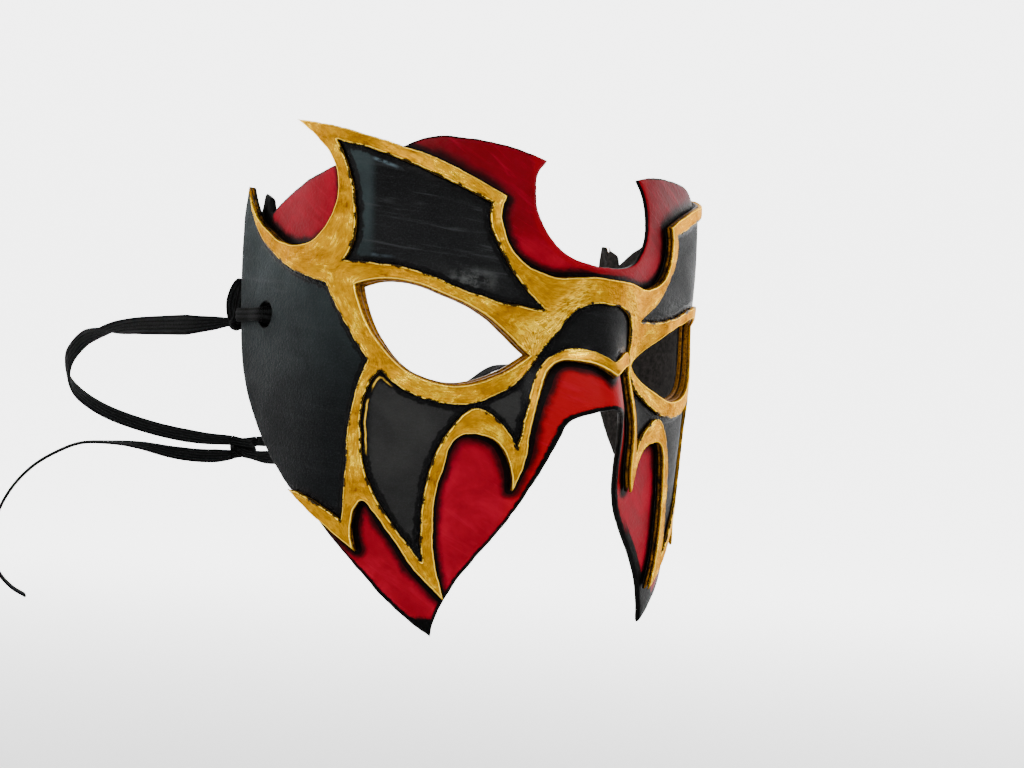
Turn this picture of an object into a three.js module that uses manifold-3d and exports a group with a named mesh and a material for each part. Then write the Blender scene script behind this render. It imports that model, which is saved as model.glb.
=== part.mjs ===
// A half mask of formed leather for a wrestler, worn on the upper face and tied behind the head.
// Millimetres, +Z up. The face looks along -Y, and the wearer's left is +X. The origin is on the
// mid line, level with the inner corners of the eyes, on the upright axis that the mask wraps.
import * as THREE from "three";
import { mergeVertices } from "three/addons/utils/BufferGeometryUtils.js";
import Module from "manifold-3d";

const wasm = await Module();
wasm.setup();

// ---- Driving dimensions ----
const MASK_HEIGHT = 156; // horn tip to cheek tip
const HALF_WRAP = THREE.MathUtils.degToRad(80); // turn from the mid line to the temple edge
const HALF_WIDTH = 80.5; // mid line to the outer face at the temples
const FRONT_DEPTH = 100.5; // axis to the outer face at the brow
const NOSE_RISE = 17.6; // how far the bridge stands out of the face
const NOSE_HALF_WIDTH = 15;
const NOSE_LEVEL = -21;
const NOSE_LENGTH = 30;
const BROW_RISE = 6.3;
const BROW_LEVEL = 33;
const BROW_LENGTH = 25;
const BROW_HALF_WIDTH = 31;
const SOCKET_SINK = 4.2; // how far the face falls back beside the bridge, at the eyes' inner corners
const SOCKET_PLACE = 23.5;
const SOCKET_HALF_WIDTH = 12;
const SOCKET_LEVEL = 1;
const SOCKET_LENGTH = 14;
const CHEEK_RISE = 8.4; // fullness where the front turns into the side
const CHEEK_TURN = THREE.MathUtils.degToRad(43.5);
const CHEEK_SPREAD = THREE.MathUtils.degToRad(17);
const GOLD_PLY = 1; // raised frame
const FRONT_PLY = 1.5; // black panels
const BASE_PLY = 2; // red backing
const PLY_GAP = 0.4;
const EYE_LEDGE = 0.6; // how far each ply under the frame shows inside the eye hole
const HOLE_RADIUS = 4; // lace hole in the temple
const HOLE_LEVEL = 9;
const HOLE_INSET = 18; // temple edge to the hole's centre, along the leather
const LACE_WIDTH = 6;
const LACE_THICKNESS = 1.2;
const HITCH_WIDTH = 3.6; // the lace drawn together where it grips the leather
const HITCH_THICKNESS = 1.6;
const LACE_GAP = 0.3;
const TEMPLE_KNOT = { across: 5, along: 6, up: 10 };
const BACK_KNOT = { across: 12, along: 8, up: 15 };

// ---- The face form ----
// Level sections: up is a share of MASK_HEIGHT, width of HALF_WIDTH, depth of FRONT_DEPTH,
// and square is the section's power (2 is round, more is boxy).
const SECTIONS = [
  { up: -0.7, width: 0.97, depth: 0.97, square: 2.15 },
  { up: -0.35, width: 0.99, depth: 0.98, square: 2.25 },
  { up: 0, width: 1, depth: 1, square: 2.33 },
  { up: 0.25, width: 1, depth: 1.01, square: 2.4 },
  { up: 0.5, width: 0.99, depth: 0.99, square: 2.45 },
];

function sectionAt(z) {
  const up = z / MASK_HEIGHT;
  let k = 0;
  while (k < SECTIONS.length - 2 && up > SECTIONS[k + 1].up) k++;
  const low = SECTIONS[k];
  const high = SECTIONS[k + 1];
  const share = THREE.MathUtils.clamp((up - low.up) / (high.up - low.up), 0, 1);
  const ease = share * share * (3 - 2 * share);
  const mix = (name) => low[name] + (high[name] - low[name]) * ease;
  return { width: mix("width") * HALF_WIDTH, depth: mix("depth") * FRONT_DEPTH, square: mix("square") };
}

const bell = (x, middle, spread) => Math.exp(-(((x - middle) / spread) ** 2));

function faceRadius(turn, z) {
  const { width, depth, square } = sectionAt(z);
  const side = (Math.abs(Math.sin(turn)) / width) ** square;
  const front = (Math.abs(Math.cos(turn)) / depth) ** square;
  const round = (side + front) ** (-1 / square);
  const across = turn * FRONT_DEPTH;
  const nose = NOSE_RISE * bell(z, NOSE_LEVEL, NOSE_LENGTH) * bell(across, 0, NOSE_HALF_WIDTH);
  const brow = BROW_RISE * bell(z, BROW_LEVEL, BROW_LENGTH) * bell(across, 0, BROW_HALF_WIDTH);
  const cheek = CHEEK_RISE * bell(Math.abs(turn), CHEEK_TURN, CHEEK_SPREAD);
  const aside = bell(Math.abs(across), SOCKET_PLACE, SOCKET_HALF_WIDTH);
  const socket = SOCKET_SINK * aside * bell(z, SOCKET_LEVEL, SOCKET_LENGTH);
  return round + nose + brow + cheek - socket;
}

function onFace(turn, z) {
  const r = faceRadius(turn, z);
  return new THREE.Vector3(r * Math.sin(turn), -r * Math.cos(turn), z);
}

// A flat point of the leather (x along it from the mid line, z up) on the formed mask,
// sunk by depth below the outermost face.
const HALF_GIRTH = (HALF_WRAP * (HALF_WIDTH + FRONT_DEPTH)) / 2;
function formed(x, z, depth) {
  const turn = (x / HALF_GIRTH) * HALF_WRAP;
  const step = 0.01;
  const p = onFace(turn, z);
  const around = onFace(turn + step, z).sub(onFace(turn - step, z));
  const upward = onFace(turn, z + 1).sub(onFace(turn, z - 1));
  const outward = around.cross(upward).normalize();
  return p.addScaledVector(outward, -depth);
}

// ---- Outlines ----
// Rows are hundredths: across is a share of HALF_GIRTH, up of MASK_HEIGHT. A row of two numbers
// is a corner reached in a straight line, a row of four bends through its first point.
const flatPoint = (across, up) => new THREE.Vector2((across / 100) * HALF_GIRTH, (up / 100) * MASK_HEIGHT);

function stepTo(path, row, side) {
  const to = flatPoint(side * row[row.length - 2], row[row.length - 1]);
  if (row.length === 2) {
    path.lineTo(to.x, to.y);
    return;
  }
  const through = flatPoint(side * row[0], row[1]);
  const from = path.currentPoint;
  const pull = through.clone().multiplyScalar(2).sub(from.clone().add(to).divideScalar(2));
  path.quadraticCurveTo(pull.x, pull.y, to.x, to.y);
}

// A closed outline whose given half starts and ends on the mid line.
function wholeOutline(path, { start, rows }) {
  const first = flatPoint(...start);
  path.moveTo(first.x, first.y);
  rows.forEach((row) => stepTo(path, row, -1));
  const stops = [start, ...rows.map((row) => row.slice(-2))];
  for (let k = rows.length - 1; k >= 0; k--) stepTo(path, [...rows[k].slice(0, -2), ...stops[k]], 1);
  return path;
}

// A closed outline on one side of the mid line.
function sideOutline({ start, rows }, side) {
  const path = new THREE.Path();
  const first = flatPoint(side * start[0], start[1]);
  path.moveTo(first.x, first.y);
  rows.forEach((row) => stepTo(path, row, side));
  return path;
}

const NOTCH_AND_CREST = [
  [8.2, 19.9, 13, 22.7],
  [16.2, 27.4, 17, 32.3],
  [16.6, 36.1, 13.8, 39.4],
  [23.5, 41.1, 33.5, 41.5],
  [41, 40.9, 48, 38],
  [62.8, 35.3],
];
const CRESCENT_AND_TAB = [
  [75.5, 32.1, 87.8, 27.2],
  [89, 30],
  [92.6, 31.4],
  [94, 26.5],
];
const BASE_SIDE = [
  [98.6, 23],
  [98.4, 13, 96.7, 3],
  [94.4, -5.4, 89.4, -13],
  [81.4, -21.1, 70.6, -29.2],
  [58, -38, 46, -47.4],
  [40, -51.7, 33.7, -55.4],
];
const BASE_INNER_EDGE = [
  [32, -50, 28.2, -43.9],
  [24, -39.3, 19.8, -35],
  [15.4, -29.2, 12.6, -23],
  [10.9, -17.5, 9.5, -12],
  [5.4, -9.8, 0, -8.6],
];
const BASE_OUTLINE = {
  start: [0, 19.1],
  rows: [...NOTCH_AND_CREST, ...CRESCENT_AND_TAB, ...BASE_SIDE, ...BASE_INNER_EDGE],
};

const BROW_AND_HORN = [
  [6.5, 16.4, 12.6, 15.4],
  [20.6, 18.2, 24.3, 23.1],
  [25.4, 26.9, 24.5, 30.4],
  [36.5, 35.3, 49, 38.7],
  [62.5, 42.2, 76, 44.9],
];
const HORN_INNER_EDGE = [
  [68.7, 41.1, 62.8, 36.6],
  [60.2, 30.3, 61.8, 24.3],
  [66, 20.4, 72, 19.3],
  [78.7, 20.3, 84.5, 22.8],
  [91.9, 26.5, 97.2, 32.7],
];
const TEMPLE_EDGE = [
  [98.8, 32.9],
  [100, 28],
  [99.9, 16, 98, 3.5],
  [95.6, -5.4, 90.5, -13],
  [82.4, -21, 71.2, -28.8],
];
const CHEEK_POINTS = [
  [61, -33.9, 51.7, -39.2],
  [53, -35, 52.4, -31.4],
  [51, -29.3, 49, -30.6],
  [44.6, -35.4, 40, -41],
  [36.4, -44.2, 32, -47.7],
];
const ARCH_AND_NOSE_INNER = [
  [34.4, -40.6, 35.2, -34],
  [35.3, -28, 33.6, -21.8],
  [31.6, -16.6, 27, -15.7],
  [22.2, -16.9, 19.4, -20.6],
  [18.4, -23, 18, -26.3],
  [16.2, -22, 15.6, -18],
  [14.9, -11.5, 13, -5],
  [11, -0.8, 6.8, -0.1],
  [3.4, -0.7, 0, -2.6],
];
const FRONT_OUTLINE = {
  start: [0, 16.5],
  rows: [
    ...BROW_AND_HORN,
    ...HORN_INNER_EDGE,
    ...TEMPLE_EDGE,
    ...CHEEK_POINTS,
    ...ARCH_AND_NOSE_INNER,
  ],
};

const TEMPLE_PANEL_INNER = [
  [92.3, 25.3, 86, 20.2],
  [76, 15.5, 66, 12.5],
  [62.1, 11.6],
  [57, 4.5, 51.3, -2.8],
  [53.9, -10.5, 54.8, -18.5],
  [54.9, -26, 55.2, -33.6],
  [62, -30.5, 70.2, -28.7],
  [71.2, -28.8],
];
const GOLD_OUTLINE = {
  start: [0, 16.5],
  rows: [
    ...BROW_AND_HORN,
    ...HORN_INNER_EDGE,
    ...TEMPLE_PANEL_INNER,
    ...CHEEK_POINTS,
    ...ARCH_AND_NOSE_INNER,
  ],
};

const EYE = {
  start: [55, 11.5],
  middle: [36, 3],
  rows: [
    [46, 12.8, 36, 10.5],
    [26.7, 7.2, 15.5, 0.3],
    [22.5, -3.9, 31.8, -6.7],
    [41, -5.3, 47.5, -0.8],
    [52.2, 4.8, 55, 11.5],
  ],
};
const FOREHEAD_WINDOW = {
  start: [61.6, 39.4],
  rows: [
    [57.4, 32, 55.7, 24.5],
    [55.8, 19.6, 58.1, 16],
    [45.2, 15.2, 34.5, 12.5],
    [25, 10.2, 14.2, 9.3],
    [21, 14.7, 25.1, 20.1],
    [27.6, 24.7, 27.6, 28.9],
    [44.5, 34.8, 61.6, 39.4],
  ],
};
const NOSE_AND_CHEEK_WINDOW = {
  start: [0, 11.3],
  rows: [
    [5.2, 11, 8.6, 8.7],
    [11.8, 3.6, 15.1, -1.9],
    [18.6, -5.4, 23.8, -8],
    [29, -9.9, 34, -10.2],
    [41.8, -8.7, 48.4, -4.7],
    [51.8, -10.5, 51.6, -18],
    [49.8, -25.5, 44.5, -32.8],
    [41.2, -36.5, 37.2, -40.5],
    [38, -34, 37.6, -27],
    [35.9, -19.8, 32, -13.7],
    [27.5, -10.5, 22.5, -12.8],
    [19.8, -14.7, 17.9, -17.9],
    [16.8, -13, 15.6, -7],
    [13.3, -1.3, 9.3, 2.1],
    [4.8, 2.4, 0, 0.2],
  ],
};

// The eye hole of a ply that reaches inwards from the frame by so much all round.
function eyeHole(side, ledge) {
  const [midAcross, midUp] = EYE.middle;
  const reach = flatPoint(EYE.start[0] - midAcross, 0).x;
  const keep = 1 - ledge / reach;
  const drawIn = (row) =>
    row.map((value, k) => {
      const middle = k % 2 === 0 ? midAcross : midUp;
      return middle + (value - middle) * keep;
    });
  return sideOutline({ start: drawIn(EYE.start), rows: EYE.rows.map(drawIn) }, side);
}

const HOLE_ACROSS = HALF_GIRTH - HOLE_INSET;
function laceHole(side) {
  const round = new THREE.EllipseCurve(side * HOLE_ACROSS, HOLE_LEVEL, HOLE_RADIUS, HOLE_RADIUS);
  return new THREE.Path(round.getPoints(4 * ARC_STEPS).slice(1));
}

// ---- Leather plies ----
const ARC_STEPS = 4; // straight steps in each bend of an outline
const NOSE_STEP = 3; // grid over the bridge, and the wider grid beside it
const NOSE_REACH = 21;
const SIDE_STEP = 10;
const LEVEL_STEP = 8.2;

// Grid lines from the mid line outwards: close over the bridge, wide beside it.
function uprightLines() {
  const lines = [0];
  for (let x = NOSE_STEP; x <= NOSE_REACH; x += NOSE_STEP) lines.push(x, -x);
  for (let x = NOSE_REACH + SIDE_STEP / 2; x < HALF_GIRTH; x += SIDE_STEP) lines.push(x, -x);
  return lines.sort((a, b) => a - b);
}

// Level grid lines: close over the sockets and the bridge, wider above and below them.
function levelLines() {
  const lines = [];
  const top = SOCKET_LEVEL + 1.5 * SOCKET_LENGTH;
  const bottom = NOSE_LEVEL - NOSE_LENGTH / 2;
  for (let z = bottom; z <= top; z += LEVEL_STEP) lines.push(z);
  for (let z = top + LEVEL_STEP; z < MASK_HEIGHT; z += 1.5 * LEVEL_STEP) lines.push(z);
  for (let z = bottom - 1.5 * LEVEL_STEP; z > -MASK_HEIGHT; z -= 1.5 * LEVEL_STEP) lines.unshift(z);
  return lines;
}

function solidFrom(geometry) {
  const bare = geometry.clone();
  bare.deleteAttribute("normal");
  bare.deleteAttribute("uv");
  const merged = mergeVertices(bare, 1e-4);
  return new wasm.Manifold(
    new wasm.Mesh({
      numProp: 3,
      vertProperties: new Float32Array(merged.attributes.position.array),
      triVerts: new Uint32Array(merged.index.array),
    }),
  );
}

const SAME_PLACE = 0.01; // flat points closer than this are one
const GRID_CLEARANCE = 0.06;

// Moves a grid line off the places where it would leave slivers.
function clearOf(places, line) {
  for (let k = 0; k < 30; k++) {
    const moved = line + (k % 2 ? -1 : 1) * Math.ceil(k / 2) * GRID_CLEARANCE;
    if (places.every((place) => Math.abs(place - moved) >= GRID_CLEARANCE)) return moved;
  }
  return line;
}

// The levels at which upright lines cross closed rings of points.
function crossingLevels(rings, uprights) {
  const levels = [];
  for (const ring of rings)
    ring.forEach((p, k) => {
      const q = ring[(k + 1) % ring.length];
      const slope = (q.y - p.y) / (q.x - p.x);
      for (const x of uprights) if ((p.x - x) * (q.x - x) < 0) levels.push(p.y + (x - p.x) * slope);
    });
  return levels;
}

// Cuts a solid by planes across one axis and returns the slices.
function slices(solid, normal, offsets) {
  const pieces = [];
  let rest = solid;
  for (const offset of offsets) {
    const [beyond, before] = rest.splitByPlane(normal, offset);
    if (!before.isEmpty()) pieces.push(before);
    rest = beyond;
  }
  if (!rest.isEmpty()) pieces.push(rest);
  return pieces;
}

// The flat triangles of a pattern cut up by the grid.
function flatTriangles(shape) {
  const sheet = { depth: 1, bevelEnabled: false, curveSegments: ARC_STEPS };
  const flat = solidFrom(new THREE.ExtrudeGeometry(shape, sheet));
  const points = [];
  const places = new Map();
  const triangles = [];
  const near = SAME_PLACE;
  const placeOf = (x, z) => {
    const key = (i, j) => i + "," + j;
    const i = Math.round(x / near);
    const j = Math.round(z / near);
    for (let a = i - 1; a <= i + 1; a++)
      for (let b = j - 1; b <= j + 1; b++) if (places.has(key(a, b))) return places.get(key(a, b));
    places.set(key(i, j), points.length);
    points.push([x, z]);
    return points.length - 1;
  };
  const { shape: outline, holes } = shape.extractPoints(ARC_STEPS);
  const rings = [outline, ...holes];
  const acrosses = rings.flat().map((p) => p.x);
  const uprights = uprightLines().map((line) => clearOf(acrosses, line));
  const heights = rings.flat().map((p) => p.y).concat(crossingLevels(rings, uprights));
  const levels = levelLines().map((line) => clearOf(heights, line));
  for (const column of slices(flat, [1, 0, 0], uprights))
    for (const cell of slices(column, [0, 1, 0], levels)) {
      const { numProp, vertProperties: v, triVerts } = cell.getMesh();
      for (let t = 0; t < triVerts.length; t += 3) {
        const corners = [...triVerts.slice(t, t + 3)].map((n) => n * numProp);
        if (corners.some((n) => v[n + 2] < 0.5)) continue;
        const [a, b, c] = corners.map((n) => placeOf(v[n], v[n + 1]));
        if (a !== b && b !== c && c !== a) triangles.push([a, b, c]);
      }
    }
  return { points, triangles: withWholeEdges(points, triangles) };
}

// Whether a point lies on the stretch between two others.
function between([x, z], [x0, z0], [x1, z1]) {
  const long = Math.hypot(x1 - x0, z1 - z0);
  const along = ((x - x0) * (x1 - x0) + (z - z0) * (z1 - z0)) / long;
  const aside = ((x - x0) * (z1 - z0) - (z - z0) * (x1 - x0)) / long;
  return Math.abs(aside) < SAME_PLACE && along > SAME_PLACE && along < long - SAME_PLACE;
}

// Splits each triangle that has another corner on one of its edges, so neighbours share whole edges,
// and drops each one that is no more than a line.
function withWholeEdges(points, triangles) {
  const waiting = [...triangles];
  const whole = [];
  while (waiting.length) {
    const [a, b, c] = waiting.pop();
    const turned = [[a, b, c], [b, c, a], [c, a, b]];
    if (turned.some(([p, q, r]) => between(points[r], points[p], points[q]))) continue;
    let split = false;
    for (const [p, q, r] of turned) {
      const onEdge = points.findIndex((point, k) => k !== r && between(point, points[p], points[q]));
      if (onEdge < 0) continue;
      waiting.push([p, onEdge, r], [onEdge, q, r]);
      split = true;
      break;
    }
    if (!split) whole.push([a, b, c]);
  }
  return whole;
}

// A formed ply: the pattern's triangles on the outer and the inner face, with walls at its edges.
function plyGeometry(shape, depth, thickness) {
  const { points, triangles } = flatTriangles(shape);
  const edges = new Map();
  for (const [a, b, c] of triangles)
    for (const [p, q] of [[a, b], [b, c], [c, a]]) edges.set(p + "," + q, [p, q]);
  const outer = points.map(([x, z]) => formed(x, z, depth));
  const inner = points.map(([x, z]) => formed(x, z, depth + thickness));
  const corners = [];
  for (const [a, b, c] of triangles) {
    corners.push(outer[a], outer[b], outer[c]);
    corners.push(inner[c], inner[b], inner[a]);
  }
  for (const [p, q] of edges.values())
    if (!edges.has(q + "," + p)) {
      corners.push(outer[q], outer[p], inner[p]);
      corners.push(outer[q], inner[p], inner[q]);
    }
  return new THREE.BufferGeometry().setFromPoints(corners);
}

const GOLD_DEPTH = 0;
const FRONT_DEPTH_IN = GOLD_DEPTH + GOLD_PLY + PLY_GAP;
const BASE_DEPTH = FRONT_DEPTH_IN + FRONT_PLY + PLY_GAP;
const STACK = BASE_DEPTH + BASE_PLY;

function leatherPly(name, shape, depth, thickness, look) {
  const material = new THREE.MeshStandardMaterial(look);
  const mesh = new THREE.Mesh(plyGeometry(shape, depth, thickness), material);
  mesh.name = name;
  return mesh;
}

function basePly() {
  const shape = wholeOutline(new THREE.Shape(), BASE_OUTLINE);
  for (const side of [1, -1]) shape.holes.push(eyeHole(side, 2 * EYE_LEDGE), laceHole(side));
  return leatherPly("red_base", shape, BASE_DEPTH, BASE_PLY, { color: 0xa51228, roughness: 0.45 });
}

function frontPly() {
  const shape = wholeOutline(new THREE.Shape(), FRONT_OUTLINE);
  for (const side of [1, -1]) shape.holes.push(eyeHole(side, EYE_LEDGE), laceHole(side));
  return leatherPly("black_front", shape, FRONT_DEPTH_IN, FRONT_PLY, { color: 0x17191c, roughness: 0.5 });
}

function goldFrame() {
  const shape = wholeOutline(new THREE.Shape(), GOLD_OUTLINE);
  for (const side of [1, -1]) shape.holes.push(eyeHole(side, 0), sideOutline(FOREHEAD_WINDOW, side));
  shape.holes.push(wholeOutline(new THREE.Path(), NOSE_AND_CHEEK_WINDOW));
  const look = { color: 0xcf9a1c, roughness: 0.35, metalness: 0.3 };
  return leatherPly("gold_frame", shape, GOLD_DEPTH, GOLD_PLY, look);
}

// ---- Lace ----
// The lace's route on the wearer's left, from the temple knot over the ear to the knot behind
// the head, and that of its free end. The other side is the mirror image.
const LACE_ROUTE = [
  [84.5, 6, 5.7],
  [88.5, 25, 5.3],
  [92, 45, 4.8],
  [94, 65, 3.2],
  [95, 82, 0],
  [94.5, 98, -8],
  [87, 113, -18],
  [70, 124, -27],
  [45, 130, -34],
  [22, 132.5, -37.5],
];
const FREE_END_ROUTE = [
  [12, 134.5, -45.4],
  [20, 136, -45.6],
  [32, 137, -44.6],
  [48, 136, -42],
  [63, 133, -41],
  [76, 130, -41.5],
  [86, 127.5, -45],
  [96, 126, -51],
  [104, 125, -59.5],
  [109, 125, -70],
  [110.5, 125, -82],
  [107.5, 125, -93],
  [102, 124.5, -99.5],
  [96.6, 124, -103],
];
const BACK_KNOT_PLACE = [0, 133.5, -41.5];
const LACE_MATERIAL = { color: 0x121212, roughness: 0.8 };

const mirrored = ([x, y, z], side) => new THREE.Vector3(side * x, y, z);

// A point on the line of the leather, so far behind the temple edge.
const TEMPLE_EDGE_ACROSS = 0.985 * HALF_GIRTH;
const behindTemple = (side, beyond, level) =>
  formed(side * (TEMPLE_EDGE_ACROSS + beyond), level, STACK / 2);
const HITCH_STAND = LACE_GAP + HITCH_THICKNESS / 2;
const KNOT_BEHIND = HITCH_STAND + HITCH_THICKNESS / 2 + 3 * LACE_GAP + TEMPLE_KNOT.along / 2;

// Where the lace and its free end leave the knots: a half of the lace's width above or below
// the middle of the back knot.
function besideBackKnot(side, half) {
  const [x, y, z] = BACK_KNOT_PLACE;
  const out = BACK_KNOT.across / 2 + LACE_GAP;
  return new THREE.Vector3(x + side * out, y, z + half * (LACE_WIDTH / 2 + LACE_GAP));
}

// A flat lace along a curve: a cylinder bent to it and pressed flat. widthAt gives the direction
// of its width.
function laceGeometry(curve, width, thickness, steps, widthAt) {
  const geometry = new THREE.CylinderGeometry(1, 1, 1, 8, steps);
  geometry.deleteAttribute("normal");
  geometry.deleteAttribute("uv");
  const position = geometry.attributes.position;
  for (let k = 0; k < position.count; k++) {
    const share = THREE.MathUtils.clamp(0.5 - position.getY(k), 0, 1);
    const along = curve.getTangentAt(share);
    const wide = widthAt(share);
    wide.addScaledVector(along, -wide.dot(along)).normalize();
    const thick = new THREE.Vector3().crossVectors(wide, along);
    const place = curve.getPointAt(share);
    place.addScaledVector(wide, (position.getX(k) * width) / 2);
    place.addScaledVector(thick, (position.getZ(k) * thickness) / 2);
    position.setXYZ(k, place.x, place.y, place.z);
  }
  return mergeVertices(geometry, 1e-4);
}

function named(name, geometry, material) {
  const mesh = new THREE.Mesh(geometry, new THREE.MeshStandardMaterial(material));
  mesh.name = name;
  return mesh;
}

const upright = () => new THREE.Vector3(0, 0, 1);

function headLace(name, side) {
  const start = behindTemple(side, KNOT_BEHIND + TEMPLE_KNOT.along / 2 + 2.5 * LACE_GAP, HOLE_LEVEL - 2);
  const route = [start, ...LACE_ROUTE.map((p) => mirrored(p, side)), besideBackKnot(side, 1)];
  const curve = new THREE.CatmullRomCurve3(route, false, "centripetal");
  const geometry = laceGeometry(curve, LACE_WIDTH, LACE_THICKNESS, 22, upright);
  return named(name, facingOut(geometry), LACE_MATERIAL);
}

function freeEnd(name, side) {
  const route = [besideBackKnot(side, -1), ...FREE_END_ROUTE.map((p) => mirrored(p, side))];
  const curve = new THREE.CatmullRomCurve3(route, false, "centripetal");
  const turnsLevel = (share) => {
    const turn = THREE.MathUtils.smoothstep(share, 0, 0.45);
    return upright().lerp(new THREE.Vector3(-0.33 * side, 0.94, 0), turn);
  };
  const geometry = laceGeometry(curve, LACE_WIDTH, LACE_THICKNESS, 19, turnsLevel);
  return named(name, facingOut(geometry), LACE_MATERIAL);
}

// Turns a closed geometry's faces round when they point inwards.
function facingOut(geometry) {
  const { array } = geometry.attributes.position;
  const index = geometry.index.array;
  const corner = (n) => new THREE.Vector3().fromArray(array, 3 * index[n]);
  let volume = 0;
  for (let t = 0; t < index.length; t += 3) volume += corner(t).dot(corner(t + 1).cross(corner(t + 2)));
  if (volume > 0) return geometry;
  for (let t = 0; t < index.length; t += 3) [index[t], index[t + 1]] = [index[t + 1], index[t]];
  return geometry;
}

// The lace's closed turn through the temple hole and round the temple edge. Its loop runs at
// HOLE_LEVEL, clear of the two plies that it grips.
function hitch(name, side) {
  const stand = HITCH_STAND;
  const outer = FRONT_DEPTH_IN - stand;
  const inner = STACK + stand;
  const middle = (outer + inner) / 2;
  const edge = TEMPLE_EDGE_ACROSS;
  const route = [
    [HOLE_ACROSS + stand, outer],
    [(HOLE_ACROSS + edge) / 2, outer],
    [edge, outer],
    [edge + stand, middle],
    [edge, inner],
    [(HOLE_ACROSS + edge) / 2, inner],
    [HOLE_ACROSS + stand, inner],
    [HOLE_ACROSS, middle],
  ];
  const curve = new THREE.CatmullRomCurve3(
    route.map(([x, depth]) => formed(side * x, HOLE_LEVEL, depth)),
    true,
    "centripetal",
  );
  const turns = 22;
  const geometry = new THREE.TorusGeometry(2, 1, 6, turns);
  geometry.deleteAttribute("normal");
  geometry.deleteAttribute("uv");
  const position = geometry.attributes.position;
  for (let k = 0; k < position.count; k++) {
    const x = position.getX(k);
    const y = position.getY(k);
    const share = (Math.atan2(y, x) / (2 * Math.PI) + 1) % 1;
    const along = curve.getTangentAt(share);
    const across = new THREE.Vector3().crossVectors(along, upright()).normalize();
    const place = curve.getPointAt(share);
    place.addScaledVector(across, ((Math.hypot(x, y) - 2) * HITCH_THICKNESS) / 2);
    place.z += (position.getZ(k) * HITCH_WIDTH) / 2;
    position.setXYZ(k, place.x, place.y, place.z);
  }
  return named(name, facingOut(mergeVertices(geometry, 1e-4)), LACE_MATERIAL);
}

// A knot: a ball pressed towards a block.
function knot(name, place, size) {
  const geometry = new THREE.SphereGeometry(1, 10, 6);
  geometry.deleteAttribute("normal");
  geometry.deleteAttribute("uv");
  const position = geometry.attributes.position;
  for (let k = 0; k < position.count; k++) {
    const v = new THREE.Vector3().fromBufferAttribute(position, k);
    v.divideScalar(Math.max(Math.abs(v.x), Math.abs(v.y), Math.abs(v.z)) ** 0.7);
    position.setXYZ(k, v.x, v.y, v.z);
  }
  geometry.scale(size.across / 2, size.along / 2, size.up / 2);
  const mesh = named(name, mergeVertices(geometry, 1e-4), LACE_MATERIAL);
  mesh.position.copy(place);
  return mesh;
}

// ---- Assembly ----
const mask = new THREE.Group();
mask.add(basePly(), frontPly(), goldFrame());
for (const [word, side] of [["left", 1], ["right", -1]]) {
  mask.add(hitch("hitch_" + word, side));
  const templeKnot = knot("temple_knot_" + word, behindTemple(side, KNOT_BEHIND, HOLE_LEVEL), TEMPLE_KNOT);
  const onwards = behindTemple(side, KNOT_BEHIND + 1, HOLE_LEVEL).sub(templeKnot.position);
  templeKnot.rotation.z = Math.atan2(-onwards.x, onwards.y);
  mask.add(templeKnot);
  mask.add(headLace("lace_" + word, side));
  mask.add(freeEnd("lace_end_" + word, side));
}
mask.add(knot("back_knot", new THREE.Vector3(...BACK_KNOT_PLACE), BACK_KNOT));

export default mask;
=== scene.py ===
import math

import bpy
import numpy as np
from mathutils import Matrix, Vector, noise
from mathutils.geometry import delaunay_2d_cdt
from mathutils.kdtree import KDTree


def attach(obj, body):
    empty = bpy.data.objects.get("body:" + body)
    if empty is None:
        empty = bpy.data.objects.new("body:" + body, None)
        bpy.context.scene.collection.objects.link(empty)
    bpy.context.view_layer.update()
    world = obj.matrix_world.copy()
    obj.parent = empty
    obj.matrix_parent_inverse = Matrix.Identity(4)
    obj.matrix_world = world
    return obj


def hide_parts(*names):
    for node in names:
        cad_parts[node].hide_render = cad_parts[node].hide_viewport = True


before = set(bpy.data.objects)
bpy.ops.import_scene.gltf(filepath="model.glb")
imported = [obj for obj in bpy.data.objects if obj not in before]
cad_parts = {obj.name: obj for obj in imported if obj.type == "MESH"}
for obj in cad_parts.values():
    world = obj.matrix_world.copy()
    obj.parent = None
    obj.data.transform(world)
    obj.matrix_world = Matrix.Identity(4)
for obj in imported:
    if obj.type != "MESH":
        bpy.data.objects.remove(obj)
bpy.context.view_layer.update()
MM = 0.001

# ---- Camera and stage ----
CAMERA_PLACE = Vector((-0.2705, -0.40806, -0.01592))
CAMERA_TURN = 37.96  # degrees, from +Y towards +X
CAMERA_RISE = 1.07
CAMERA_ROLL = 3.6
CAMERA_LENS = 45.9
FLOOR_LEVEL = -0.24
FLOOR_REACH = 1.5
WALL_BEND = 1.4
WALL_TOP = 3.2
WALL_STEPS = 12
STAGE_SIDES = 72
BACKDROP_GLOW = 3.2
WORLD_GLOW = 0.15


def add_object(name, data):
    obj = bpy.data.objects.new(name, data)
    bpy.context.scene.collection.objects.link(obj)
    return obj


def make_camera():
    turn, rise, roll = (math.radians(v) for v in (CAMERA_TURN, CAMERA_RISE, CAMERA_ROLL))
    reach = math.cos(rise)
    ahead = Vector((math.sin(turn) * reach, math.cos(turn) * reach, math.sin(rise)))
    level = Vector((math.cos(turn), -math.sin(turn), 0))
    plumb = level.cross(ahead)
    right = level * math.cos(roll) + plumb * math.sin(roll)
    up = plumb * math.cos(roll) - level * math.sin(roll)
    data = bpy.data.cameras.new("camera")
    data.lens = CAMERA_LENS
    data.sensor_width = 36
    data.clip_start = 0.01
    camera = add_object("camera", data)
    turned = Matrix((right, up, -ahead)).transposed().to_4x4()
    camera.matrix_world = Matrix.Translation(CAMERA_PLACE) @ turned
    bpy.context.scene.camera = camera


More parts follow.
